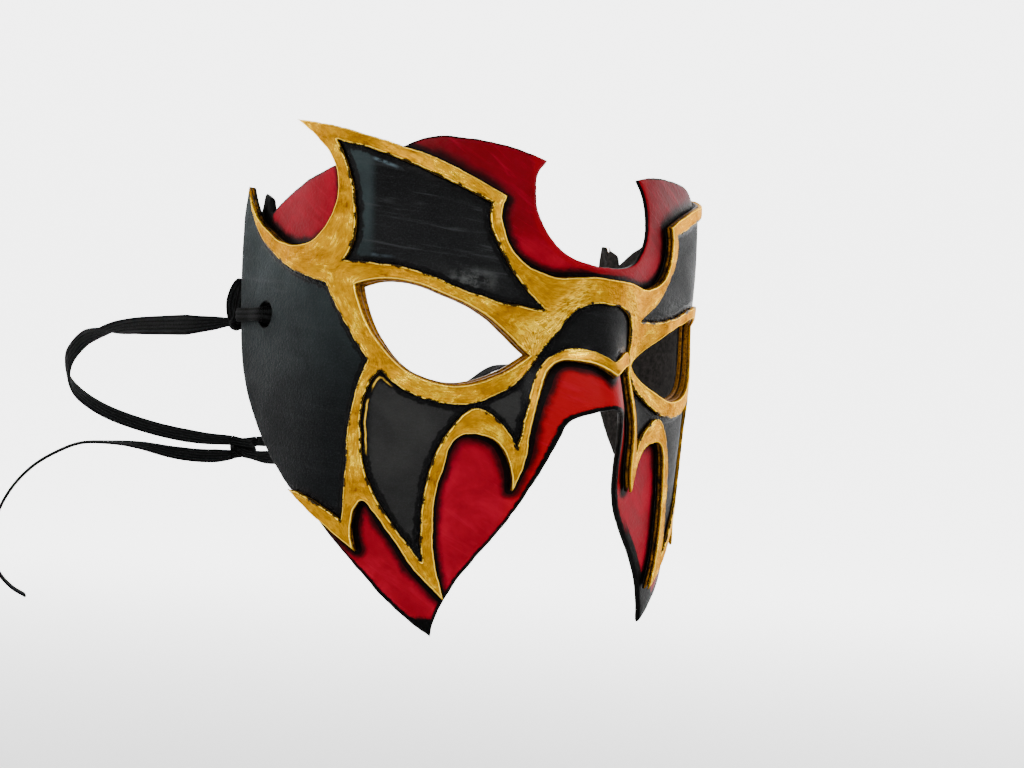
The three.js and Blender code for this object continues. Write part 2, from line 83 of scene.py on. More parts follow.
def soft_light(name, place, target, size, watts):
    data = bpy.data.lights.new(name, "AREA")
    data.shape = "RECTANGLE"
    data.size, data.size_y = size
    data.energy = watts
    lamp = add_object(name, data)
    lamp.location = place
    lamp.rotation_euler = (Vector(target) - Vector(place)).to_track_quat("-Z", "Y").to_euler()


def make_stage():
    profile = [(0, 0), (FLOOR_REACH * 0.5, 0), (FLOOR_REACH, 0)]
    for k in range(1, WALL_STEPS + 1):
        turn = math.radians(90 * k / WALL_STEPS)
        profile.append((FLOOR_REACH + WALL_BEND * math.sin(turn), WALL_BEND * (1 - math.cos(turn))))
    profile.append((FLOOR_REACH + WALL_BEND, WALL_TOP))
    around = STAGE_SIDES
    points = [(0, 0, FLOOR_LEVEL)]
    for r, up in profile[1:]:
        for k in range(around):
            turn = 2 * math.pi * k / around
            points.append((r * math.cos(turn), r * math.sin(turn), FLOOR_LEVEL + up))
    faces = [(0, 1 + k, 1 + (k + 1) % around) for k in range(around)]
    for ring in range(len(profile) - 2):
        low = 1 + ring * around
        for k in range(around):
            after = (k + 1) % around
            faces.append((low + k, low + around + k, low + around + after, low + after))
    mesh = bpy.data.meshes.new("floor")
    mesh.from_pydata(points, [], faces)
    mesh.shade_smooth()
    floor = add_object("floor", mesh)
    shade = Shade("pale_floor")
    shade.set("Base Color", (0.8, 0.8, 0.8, 1))
    shade.set("Roughness", 0.9)
    shade.set("Specular IOR Level", 0.0)
    # The side of the bowl that lies behind the mask glows like a lit paper sweep.
    place = shade.node("NewGeometry").outputs["Position"]
    turn = math.radians(CAMERA_TURN)
    beyond = shade.dot(place, (math.sin(turn), math.cos(turn), 0))
    shade.set("Emission Color", (1, 1, 1, 1))
    shade.set("Emission Strength", shade.ease(beyond, 0.0, 1.3, 0.03, BACKDROP_GLOW))
    mesh.materials.append(shade.material)
    world = bpy.data.worlds.new("studio")
    bpy.context.scene.world = world
    world.use_nodes = True
    sky = world.node_tree.nodes["Background"]
    sky.inputs[0].default_value = (1, 1, 1, 1)
    sky.inputs[1].default_value = WORLD_GLOW
    soft_light("key", (-0.7, -1.0, 0.75), (0, -0.05, 0), (0.8, 0.6), 20)
    soft_light("far_side", (1.0, -0.55, 0.35), (0, -0.05, 0), (0.6, 0.8), 5)
    soft_light("near_side", (-1.2, 0.15, 0.4), (0, 0, 0), (0.8, 0.8), 5)
    soft_light("behind", (0.3, 1.2, 0.6), (0, 0.05, -0.02), (0.9, 0.7), 2)


# ---- Materials ----
class Shade:
    """A material's node tree, built through short calls that return sockets."""

    def __init__(self, name):
        self.material = bpy.data.materials.new(name)
        self.material.use_nodes = True
        self.tree = self.material.node_tree
        self.tree.nodes.clear()
        output = self.node("OutputMaterial")
        self.surface = self.node("BsdfPrincipled")
        self.tree.links.new(self.surface.outputs[0], output.inputs[0])

    def node(self, kind):
        return self.tree.nodes.new("ShaderNode" + kind)

    def put(self, socket, value):
        if isinstance(value, bpy.types.NodeSocket):
            self.tree.links.new(value, socket)
        else:
            socket.default_value = value

    def set(self, name, value):
        self.put(self.surface.inputs[name], value)

    def attribute(self, name, output="Fac"):
        node = self.node("Attribute")
        node.attribute_name = name
        return node.outputs[output]

    def math(self, kind, a, b=0.0, clamp=False):
        node = self.node("Math")
        node.operation = kind
        node.use_clamp = clamp
        self.put(node.inputs[0], a)
        self.put(node.inputs[1], b)
        return node.outputs[0]

    def plus(self, a, b):
        return self.math("ADD", a, b)

    def minus(self, a, b, clamp=False):
        return self.math("SUBTRACT", a, b, clamp)

    def times(self, first, *others):
        for other in others:
            first = self.math("MULTIPLY", first, other)
        return first

    def larger(self, a, b):
        return self.math("MAXIMUM", a, b)

    def dot(self, vector, direction):
        node = self.node("VectorMath")
        node.operation = "DOT_PRODUCT"
        self.put(node.inputs[0], vector)
        node.inputs[1].default_value = direction
        return node.outputs["Value"]

    def ease(self, value, start, end, low=0.0, high=1.0):
        """From low at start to high at end, smooth and level beyond both."""
        node = self.node("MapRange")
        node.interpolation_type = "SMOOTHSTEP"
        for socket, given in zip(node.inputs, (value, start, end, low, high)):
            self.put(socket, given)
        return node.outputs[0]

    def within(self, value, low, high, soft):
        """1 between low and high, fading to 0 over soft on both sides."""
        rise = self.ease(value, low - soft, low + soft)
        fall = self.ease(value, high - soft, high + soft)
        return self.minus(rise, fall, clamp=True)

    def mix(self, share, a, b):
        node = self.node("Mix")
        node.data_type = "RGBA"
        self.put(node.inputs[0], share)
        self.put(node.inputs[6], a)
        self.put(node.inputs[7], b)
        return node.outputs[2]

    def place(self, vector, scale=(1, 1, 1), turn=0.0, move=(0, 0, 0)):
        node = self.node("Mapping")
        node.inputs["Scale"].default_value = scale
        if turn:
            turned = self.node("VectorRotate")
            turned.rotation_type = "Z_AXIS"
            turned.inputs["Angle"].default_value = turn
            self.put(turned.inputs["Vector"], vector)
            vector = turned.outputs[0]
        node.inputs["Location"].default_value = move
        self.put(node.inputs["Vector"], vector)
        return node.outputs[0]

    def noise(self, vector, scale=1.0, detail=2.0, rough=0.5, distortion=0.0):
        node = self.node("TexNoise")
        self.put(node.inputs["Vector"], vector)
        node.inputs["Scale"].default_value = scale
        node.inputs["Detail"].default_value = detail
        node.inputs["Roughness"].default_value = rough
        node.inputs["Distortion"].default_value = distortion
        return node.outputs[0]

    def sway(self, vector, scale, detail, rough, swing, middle=0.5):
        """Noise that moves a painted line to both sides."""
        return self.times(self.minus(self.noise(vector, scale, detail, rough), middle), swing)

    def cells(self, vector, scale):
        node = self.node("TexVoronoi")
        self.put(node.inputs["Vector"], vector)
        node.inputs["Scale"].default_value = scale
        return node.outputs["Distance"]

    def ramp(self, value, stops):
        node = self.node("ValToRGB")
        node.color_ramp.interpolation = "EASE"
        entries = node.color_ramp.elements
        while len(entries) < len(stops):
            entries.new(0.5)
        for entry, (at, colour) in zip(entries, stops):
            entry.position = at
            entry.color = (*colour, 1)
        self.put(node.inputs[0], value)
        return node.outputs[0]

    def bump(self, height, distance, before=None):
        """height is in millimetres; distance scales it."""
        node = self.node("Bump")
        node.inputs["Distance"].default_value = distance * MM
        self.put(node.inputs["Height"], height)
        if before is not None:
            self.put(node.inputs["Normal"], before)
        return node.outputs[0]

    def part(self, vector, axis):
        node = self.node("SeparateXYZ")
        self.put(node.inputs[0], vector)
        return node.outputs[axis]


# ---- The face form ----
MASK_HEIGHT = 156
HALF_WRAP = math.radians(80)
HALF_WIDTH = 80.5
FRONT_DEPTH = 100.5
NOSE_RISE, NOSE_HALF_WIDTH, NOSE_LEVEL, NOSE_LENGTH = 17.6, 15, -21, 30
BROW_RISE, BROW_HALF_WIDTH, BROW_LEVEL, BROW_LENGTH = 6.3, 31, 33, 25
SOCKET_SINK, SOCKET_PLACE, SOCKET_HALF_WIDTH, SOCKET_LEVEL, SOCKET_LENGTH = 4.2, 23.5, 12, 1, 14
CHEEK_RISE, CHEEK_TURN, CHEEK_SPREAD = 8.4, math.radians(43.5), math.radians(17)
GOLD_PLY, FRONT_PLY, BASE_PLY, PLY_GAP = 1, 1.5, 2, 0.4
EYE_LEDGE = 0.6
HOLE_RADIUS, HOLE_LEVEL, HOLE_INSET = 4, 9, 18
HALF_GIRTH = HALF_WRAP * (HALF_WIDTH + FRONT_DEPTH) / 2
HOLE_ACROSS = HALF_GIRTH - HOLE_INSET
# Level sections: height as a share of MASK_HEIGHT, width, depth, squareness.
SECTIONS = np.array(
    [
        [-0.7, 0.97, 0.97, 2.15],
        [-0.35, 0.99, 0.98, 2.25],
        [0, 1, 1, 2.33],
        [0.25, 1, 1.01, 2.4],
        [0.5, 0.99, 0.99, 2.45],
    ]
)


def bell(x, middle, spread):
    return np.exp(-(((x - middle) / spread) ** 2))


def unit(vectors):
    return vectors / np.maximum(np.linalg.norm(vectors, axis=1), 1e-6)[:, None]


def on_face(turn, z):
    up = z / MASK_HEIGHT
    row = np.clip(np.searchsorted(SECTIONS[:, 0], up) - 1, 0, len(SECTIONS) - 2)
    low, high = SECTIONS[row], SECTIONS[row + 1]
    share = np.clip((up - low[:, 0]) / (high[:, 0] - low[:, 0]), 0, 1)
    ease = (share * share * (3 - 2 * share))[:, None]
    _, width, depth, square = (low + (high - low) * ease).T
    side = (np.abs(np.sin(turn)) / (width * HALF_WIDTH)) ** square
    front = (np.abs(np.cos(turn)) / (depth * FRONT_DEPTH)) ** square
    r = (side + front) ** (-1 / square)
    across = turn * FRONT_DEPTH
    r = r + NOSE_RISE * bell(z, NOSE_LEVEL, NOSE_LENGTH) * bell(across, 0, NOSE_HALF_WIDTH)
    r = r + BROW_RISE * bell(z, BROW_LEVEL, BROW_LENGTH) * bell(across, 0, BROW_HALF_WIDTH)
    r = r + CHEEK_RISE * bell(np.abs(turn), CHEEK_TURN, CHEEK_SPREAD)
    aside = bell(np.abs(across), SOCKET_PLACE, SOCKET_HALF_WIDTH)
    r = r - SOCKET_SINK * aside * bell(z, SOCKET_LEVEL, SOCKET_LENGTH)
    return np.stack([r * np.sin(turn), -r * np.cos(turn), z], axis=1)


def formed(x, z, depth):
    """Flat leather points on the formed mask, sunk by depth below the outermost face."""
    x, z, depth = (np.asarray(v, float) for v in np.broadcast_arrays(x, z, depth))
    turn = x / HALF_GIRTH * HALF_WRAP
    step = 0.01
    around = on_face(turn + step, z) - on_face(turn - step, z)
    upward = on_face(turn, z + 1) - on_face(turn, z - 1)
    outward = unit(np.cross(around, upward))
    return on_face(turn, z) - outward * depth[:, None]


# ---- Outlines ----
# Rows are hundredths of HALF_GIRTH across and of MASK_HEIGHT up. A row of two numbers is a corner
# reached in a straight line, a row of four bends through its first point.
OUTLINE_STEP = 0.7
LONG_WANDER, SHORT_WANDER = 5.5, 1.6
NOTCH_AND_CREST = [
    [8.2, 19.9, 13, 22.7],
    [16.2, 27.4, 17, 32.3],
    [16.6, 36.1, 13.8, 39.4],
    [23.5, 41.1, 33.5, 41.5],
    [41, 40.9, 48, 38],
    [62.8, 35.3],
]
CRESCENT_AND_TAB = [[75.5, 32.1, 87.8, 27.2], [89, 30], [92.6, 31.4], [94, 26.5]]
BASE_SIDE = [
    [98.6, 23],
    [98.4, 13, 96.7, 3],
    [94.4, -5.4, 89.4, -13],
    [81.4, -21.1, 70.6, -29.2],
    [58, -38, 46, -47.4],
    [40, -51.7, 33.7, -55.4],
]
BASE_INNER_EDGE = [
    [32, -50, 28.2, -43.9],
    [24, -39.3, 19.8, -35],
    [15.4, -29.2, 12.6, -23],
    [10.9, -17.5, 9.5, -12],
    [5.4, -9.8, 0, -8.6],
]
BROW_AND_HORN = [
    [6.5, 16.4, 12.6, 15.4],
    [20.6, 18.2, 24.3, 23.1],
    [25.4, 26.9, 24.5, 30.4],
    [36.5, 35.3, 49, 38.7],
    [62.5, 42.2, 76, 44.9],
]
HORN_INNER_EDGE = [
    [68.7, 41.1, 62.8, 36.6],
    [60.2, 30.3, 61.8, 24.3],
    [66, 20.4, 72, 19.3],
    [78.7, 20.3, 84.5, 22.8],
    [91.9, 26.5, 97.2, 32.7],
]
TEMPLE_EDGE = [
    [98.8, 32.9],
    [100, 28],
    [99.9, 16, 98, 3.5],
    [95.6, -5.4, 90.5, -13],
    [82.4, -21, 71.2, -28.8],
]
CHEEK_POINTS = [
    [61, -33.9, 51.7, -39.2],
    [53, -35, 52.4, -31.4],
    [51, -29.3, 49, -30.6],
    [44.6, -35.4, 40, -41],
    [36.4, -44.2, 32, -47.7],
]
ARCH_AND_NOSE_INNER = [
    [34.4, -40.6, 35.2, -34],
    [35.3, -28, 33.6, -21.8],
    [31.6, -16.6, 27, -15.7],
    [22.2, -16.9, 19.4, -20.6],
    [18.4, -23, 18, -26.3],
    [16.2, -22, 15.6, -18],
    [14.9, -11.5, 13, -5],
    [11, -0.8, 6.8, -0.1],
    [3.4, -0.7, 0, -2.6],
]
TEMPLE_PANEL_INNER = [
    [92.3, 25.3, 86, 20.2],
    [76, 15.5, 66, 12.5],
    [62.1, 11.6],
    [57, 4.5, 51.3, -2.8],
    [53.9, -10.5, 54.8, -18.5],
    [54.9, -26, 55.2, -33.6],
    [62, -30.5, 70.2, -28.7],
    [71.2, -28.8],
]
BASE_ROWS = NOTCH_AND_CREST + CRESCENT_AND_TAB + BASE_SIDE + BASE_INNER_EDGE
UPPER_ROWS, LOWER_ROWS = BROW_AND_HORN + HORN_INNER_EDGE, CHEEK_POINTS + ARCH_AND_NOSE_INNER
FRONT_ROWS = UPPER_ROWS + TEMPLE_EDGE + LOWER_ROWS
GOLD_ROWS = UPPER_ROWS + TEMPLE_PANEL_INNER + LOWER_ROWS
EYE_START = [55, 11.5]
EYE_MIDDLE = [36, 3]
EYE_ROWS = [
    [46, 12.8, 36, 10.5],
    [26.7, 7.2, 15.5, 0.3],
    [22.5, -3.9, 31.8, -6.7],
    [41, -5.3, 47.5, -0.8],
    [52.2, 4.8, 55, 11.5],
]
FOREHEAD_START = [61.6, 39.4]
FOREHEAD_ROWS = [
    [57.4, 32, 55.7, 24.5],
    [55.8, 19.6, 58.1, 16],
    [45.2, 15.2, 34.5, 12.5],
    [25, 10.2, 14.2, 9.3],
    [21, 14.7, 25.1, 20.1],
    [27.6, 24.7, 27.6, 28.9],
    [44.5, 34.8, 61.6, 39.4],
]
NOSE_AND_CHEEK_ROWS = [
    [5.2, 11, 8.6, 8.7],
    [11.8, 3.6, 15.1, -1.9],
    [18.6, -5.4, 23.8, -8],
    [29, -9.9, 34, -10.2],
    [41.8, -8.7, 48.4, -4.7],
    [51.8, -10.5, 51.6, -18],
    [49.8, -25.5, 44.5, -32.8],
    [41.2, -36.5, 37.2, -40.5],
    [38, -34, 37.6, -27],
    [35.9, -19.8, 32, -13.7],
    [27.5, -10.5, 22.5, -12.8],
    [19.8, -14.7, 17.9, -17.9],
    [16.8, -13, 15.6, -7],
    [13.3, -1.3, 9.3, 2.1],
    [4.8, 2.4, 0, 0.2],
]


def flat_point(across, up):
    return np.array([across / 100 * HALF_GIRTH, up / 100 * MASK_HEIGHT])


def trace(start, rows, side=1):
    """The points of an outline, a small step apart."""
    here = flat_point(side * start[0], start[1])
    points = [here[None]]
    for row in rows:
        there = flat_point(side * row[-2], row[-1])
        middle = (here + there) / 2
        pull = 2 * flat_point(side * row[0], row[1]) - middle if len(row) == 4 else middle
        reach = np.linalg.norm(pull - here) + np.linalg.norm(there - pull)
        count = max(2, round(reach / OUTLINE_STEP))
        t = np.arange(1, count + 1)[:, None] / count
        points.append((1 - t) ** 2 * here + 2 * t * (1 - t) * pull + t**2 * there)
        here = there
    return np.vstack(points)


def softened(ring, rounds=18, corner=40):
    """Evens out the joins between bends and leaves the sharp points."""
    for _ in range(rounds):
        before, after = np.roll(ring, 1, axis=0), np.roll(ring, -1, axis=0)
        into, onward = ring - before, after - ring
        sine = into[:, 0] * onward[:, 1] - into[:, 1] * onward[:, 0]
        bend = np.abs(np.arctan2(sine, (into * onward).sum(1)))
        free = (bend < math.radians(corner))[:, None]
        ring = np.where(free, ring / 2 + (before + after) / 4, ring)
    return ring


def waves(flat, size, height, seed):
    return height * np.array([noise.noise(Vector((x / size, z / size, seed))) for x, z in flat])


def hand_cut(ring, amount, seed):
    """Wanders to both sides of the outline, as a line cut by hand does."""
    onward = unit(np.roll(ring, -1, axis=0) - np.roll(ring, 1, axis=0))
    aside = np.stack([onward[:, 1], -onward[:, 0]], axis=1)
    drift = waves(ring, LONG_WANDER, 1, seed) + waves(ring, SHORT_WANDER, 0.5, seed + 9)
    return ring + aside * drift[:, None] * amount


def whole(start, rows, wander, seed):
    half = trace(start, rows)
    ring = np.vstack([half, (half * [-1, 1])[-2:0:-1]])
    return hand_cut(softened(ring), wander, seed)


def one_side(start, rows, side, wander, seed):
    return hand_cut(softened(trace(start, rows, side)[:-1]), wander, seed)


def eye_hole(side, ledge):
    keep = 1 - ledge / flat_point(EYE_START[0] - EYE_MIDDLE[0], 0)[0]

    def drawn_in(row):
        return [EYE_MIDDLE[k % 2] + (v - EYE_MIDDLE[k % 2]) * keep for k, v in enumerate(row)]

    rows = [drawn_in(row) for row in EYE_ROWS]
    return one_side(drawn_in(EYE_START), rows, side, 0.12, 3 + ledge)


def lace_hole(side):
    turn = np.linspace(0, 2 * math.pi, 40, endpoint=False)
    middle = np.array([side * HOLE_ACROSS, HOLE_LEVEL])
    ring = middle + HOLE_RADIUS * np.stack([np.cos(turn), np.sin(turn)], axis=1)
    return hand_cut(ring, 0.3, 5)


SIDES = (1, -1)
WORDS = ("left", "right")
BASE_RINGS = [whole([0, 19.1], BASE_ROWS, 0.25, 11)]
FRONT_RINGS = [whole([0, 16.5], FRONT_ROWS, 0.2, 12)]
GOLD_RINGS = [whole([0, 16.5], GOLD_ROWS, 0.3, 13)]
EYE_RINGS = [eye_hole(side, 0) for side in SIDES]
HOLE_RINGS = [lace_hole(side) for side in SIDES]
WINDOW_RINGS = [one_side(FOREHEAD_START, FOREHEAD_ROWS, side, 0.35, 14) for side in SIDES]
WINDOW_RINGS.append(whole([0, 11.3], NOSE_AND_CHEEK_ROWS, 0.35, 15))
TEMPLE_RINGS = [trace([97.2, 32.7], TEMPLE_PANEL_INNER, side) for side in SIDES]


class Edges:
    """Finds the nearest point of some outlines."""

    def __init__(self, rings, closed=True):
        self.points = np.vstack(rings)
        starts = np.cumsum([0] + [len(r) for r in rings])
        self.next = np.arange(1, len(self.points) + 1)
        self.last = np.arange(-1, len(self.points) - 1)
        for low, high in zip(starts[:-1], starts[1:]):
            self.next[high - 1] = low if closed else high - 1
            self.last[low] = high - 1 if closed else low
        self.tree = KDTree(len(self.points))
        for k, (x, z) in enumerate(self.points):
            self.tree.insert((x, z, 0), k)
        self.tree.balance()

    def near(self, points):
        """The distance to the outlines and the outline's direction there."""
        hit = np.array([self.tree.find((x, z, 0))[1] for x, z in points], dtype=int)
        best = np.full(len(points), 1e9)
        along = np.zeros((len(points), 2))
        for a, b in ((self.last[hit], hit), (hit, self.next[hit])):
            reach = self.points[b] - self.points[a]
            size = np.maximum((reach * reach).sum(1), 1e-9)
            away = points - self.points[a]
            t = np.clip((away * reach).sum(1) / size, 0, 1)
            gap = np.linalg.norm(away - t[:, None] * reach, axis=1)
            closer = gap < best
            best = np.where(closer, gap, best)
            along = np.where(closer[:, None], reach / np.sqrt(size)[:, None], along)
        return best, along


PAINT_EDGES = {
    "from_gold": Edges(GOLD_RINGS + EYE_RINGS + WINDOW_RINGS),
    "from_panel": Edges(WINDOW_RINGS + TEMPLE_RINGS, closed=False),
    "from_front": Edges(FRONT_RINGS),
    "from_eye": Edges(EYE_RINGS),
}


def inside(points, rings):
    """Whether each point lies within the first ring and in none of the others."""
    starts = np.vstack(rings)
    ends = np.vstack([np.roll(r, -1, axis=0) for r in rings])
    odd = np.zeros(len(points), bool)
    rise = ends[:, 1] - starts[:, 1]
    rise = np.where(np.abs(rise) < 1e-12, 1e-12, rise)
    for k in range(0, len(points), 3000):
        x, z = points[k : k + 3000, 0, None], points[k : k + 3000, 1, None]
        crosses = (starts[:, 1] > z) != (ends[:, 1] > z)
        at = starts[:, 0] + (z - starts[:, 1]) / rise * (ends[:, 0] - starts[:, 0])
        odd[k : k + 3000] = (crosses & (x < at)).sum(1) % 2 == 1
    return odd


def seeded_grid(gap):
    """Points over the whole flat leather, every other row shifted by half a gap."""
    rows = []
    level = -0.62 * MASK_HEIGHT
    odd = False
    while level < 0.5 * MASK_HEIGHT:
        x = np.arange(-HALF_GIRTH, HALF_GIRTH, gap) + (gap / 2 if odd else 0)
        rows.append(np.stack([x, np.full(len(x), level)], axis=1))
        level += gap * 0.87
        odd = not odd
    return np.vstack(rows)


EDGE_BAND = 0.45
GRAIN_ROUNDS = 14


def cut_leather(rings, rounding, gap):
    """Triangles of the flat leather, with lines of points close along its edges."""
    edges = Edges(rings)
    outline = edges.points
    onward = unit(outline[edges.next] - outline[edges.last])
    aside = np.stack([-onward[:, 1], onward[:, 0]], axis=1)
    extra = []
    for offset in (0.134 * rounding, 0.5 * rounding, rounding, rounding + EDGE_BAND):
        for sign in SIDES:
            line = outline + sign * aside * offset
            reach, _ = edges.near(line)
            extra.append(line[(reach > 0.97 * offset) & inside(line, rings)])
    grid = seeded_grid(gap)
    grid = grid[inside(grid, rings)]
    reach, _ = edges.near(grid)
    extra.append(grid[reach > rounding + EDGE_BAND + 0.45 * gap])
    loose = np.vstack(extra)
    points = np.vstack([outline, loose])
    links = [(k, int(after)) for k, after in enumerate(edges.next)]
    made = delaunay_2d_cdt([Vector(p) for p in points.tolist()], links, [], 0, 1e-5, False)
    flat = np.array([tuple(v) for v in made[0]])
    faces = np.array(made[2])
    faces = faces[inside(flat[faces].mean(axis=1), rings)]
    used, faces = np.unique(faces, return_inverse=True)
    return flat[used], faces.reshape(-1, 3), edges


def evened(field, links, rounds):
    """Spreads a field of vectors to neighbouring points a few times over."""
    for _ in range(rounds):
        total = field.copy()
        for a, b in (links.T, links.T[::-1]):
            for axis in range(3):
                total[:, axis] += np.bincount(a, field[b, axis], len(field))
        field = unit(total)
    return field


def leather_ply(name, rings, depth, thickness, rounding, gap, relief, skive=(0, 1)):
    """A formed ply with rounded edges. relief lifts its outer face, and skive is how far and over
    what width its outer edge is pared."""
    flat, faces, edges = cut_leather(rings, rounding, gap)
    reach, along = edges.near(flat)
    count = len(flat)
    inward = np.clip(rounding - reach, 0, rounding)
    drop = rounding - np.sqrt(np.maximum(rounding**2 - inward**2, 0))
    pared = skive[0] * np.clip(1 - reach / skive[1], 0, 1) ** 2
    x, z = flat.T
    outer = formed(x, z, depth + drop + pared - relief(flat) * np.clip(reach, 0, 1))
    inner = formed(x, z, depth + thickness - drop)
    directed = np.concatenate([faces[:, [0, 1]], faces[:, [1, 2]], faces[:, [2, 0]]])
    sides = np.sort(directed, axis=1)
    keys, first, counts = np.unique(sides, axis=0, return_index=True, return_counts=True)
    start, end = directed[first[counts == 1]].T
    walls = np.concatenate(
        [
            np.stack([end, start, start + count], axis=1),
            np.stack([end, start + count, end + count], axis=1),
        ]
    )
    mesh = bpy.data.meshes.new(name)
    corners = np.concatenate([faces, faces[:, ::-1] + count, walls])
    mesh.from_pydata((np.vstack([outer, inner]) * MM).tolist(), [], corners.tolist())
    mesh.shade_smooth()
    numbers = {"edge": np.tile(reach, 2), "outer": np.repeat([1.0, 0.0], count)}
    numbers.update({key: np.tile(lines.near(flat)[0], 2) for key, lines in PAINT_EDGES.items()})
    for key, values in numbers.items():
        layer = mesh.attributes.new(key, "FLOAT", "POINT")
        layer.data.foreach_set("value", values.astype(np.float32))
    # Twice the edge's angle, so that a strip's two edges, traced in opposite senses, agree.
    right, up = along.T
    double = np.stack([right**2 - up**2, 2 * right * up, np.zeros(count)], axis=1)
    vectors = {
        "flat": np.stack([x, z, np.zeros(count)], axis=1),
        "grain": evened(double, keys, GRAIN_ROUNDS),
    }
    for key, values in vectors.items():
        layer = mesh.attributes.new(key, "FLOAT_VECTOR", "POINT")
        layer.data.foreach_set("vector", np.tile(values, (2, 1)).astype(np.float32).ravel())
    mesh.validate()
    return add_object(name, mesh)


def ply_shade(name):
    """A material and what its paint reads: the place on the flat leather, the distance from the
    ply's edge, the side of the ply, and the distances from the middle line and up."""
    shade = Shade(name)
    flat = shade.attribute("flat", "Vector")
    away = shade.math("ABSOLUTE", shade.part(flat, 0))
    return shade, flat, shade.attribute("edge"), shade.attribute("outer"), away, shade.part(flat, 1)


def through(shade, flat, outer):
    """Flat places moved by the depth in the ply, so that walls aren't striped."""
    node = shade.node("CombineXYZ")
    shade.put(node.inputs[2], shade.times(outer, 2.5))
    total = shade.node("VectorMath")
    shade.put(total.inputs[0], flat)
    shade.put(total.inputs[1], node.outputs[0])
    return total.outputs[0]


# ---- Gold paint ----
# Linear colours of the paints and of worn leather, and of painted highlights and painted shade.
GOLD_RIM_HIGHLIGHT = (0.85, 0.58, 0.06, 1)
GOLD_RIDGE_HIGHLIGHT = (0.75, 0.48, 0.02, 1)
GOLD_LINE = (0.6, 0.36, 0.03, 1)
GOLD_GROOVE_SHADE = (0.1, 0.03, 0.0, 1)
GOLD_WALL = (0.1, 0.036, 0.0, 1)
SMEARED_BLACK = (0.006, 0.004, 0.002, 1)
BORDER_BLACK = (0.0004, 0.0004, 0.0005, 1)
EDGE_BLACK = (0.0006, 0.0006, 0.0006, 1)
DEEP_BLACK = (0.0006, 0.0006, 0.0007, 1)
SCUFFED_GREY = (0.026, 0.028, 0.029, 1)
RUBBED_GREY = (0.055, 0.058, 0.056, 1)
RIM_GREY = (0.045, 0.065, 0.075, 1)
DARK_RED = (0.13, 0.0006, 0.005, 1)
RED = (0.2, 0.0012, 0.0095, 1)
CREST_RED = (0.055, 0.0, 0.0012, 1)
NOSE_RED = (0.19, 0.0, 0.0015, 1)
STROKE_RED = (0.26, 0.003, 0.016, 1)
PARED_SHADE_RED = (0.14, 0.0, 0.003, 1)
SPRAYED_BLACK = (0.0012, 0.0003, 0.0004, 1)
CUT_BLACK = (0.0006, 0.0005, 0.0005, 1)
STREAK_TURNS = 6


def brushed(shade, flat, length, width):
    """Streaks that follow the strips: a blend of straight streaks in a few directions."""
    node = shade.node("VectorMath")
    node.operation = "NORMALIZE"
    shade.put(node.inputs[0], shade.attribute("grain", "Vector"))
    strip = node.outputs[0]
    total, weights = 0.0, 0.0
    for k in range(STREAK_TURNS):
        turn = math.pi * k / STREAK_TURNS
        likeness = shade.dot(strip, (math.cos(2 * turn), math.sin(2 * turn), 0))
        weight = shade.math("POWER", shade.larger(likeness, 0.0), 4.0)
        weight = shade.plus(weight, 0.02)
        spot = shade.place(flat, (1 / length, 1 / width, 1), -turn, (7 * k, 3 * k, k))
        streak = shade.noise(spot, 1.0, 3.0, 0.6, 0.4)
        total = shade.plus(total, shade.times(streak, weight))
        weights = shade.plus(weights, weight)
    return shade.math("DIVIDE", total, weights)


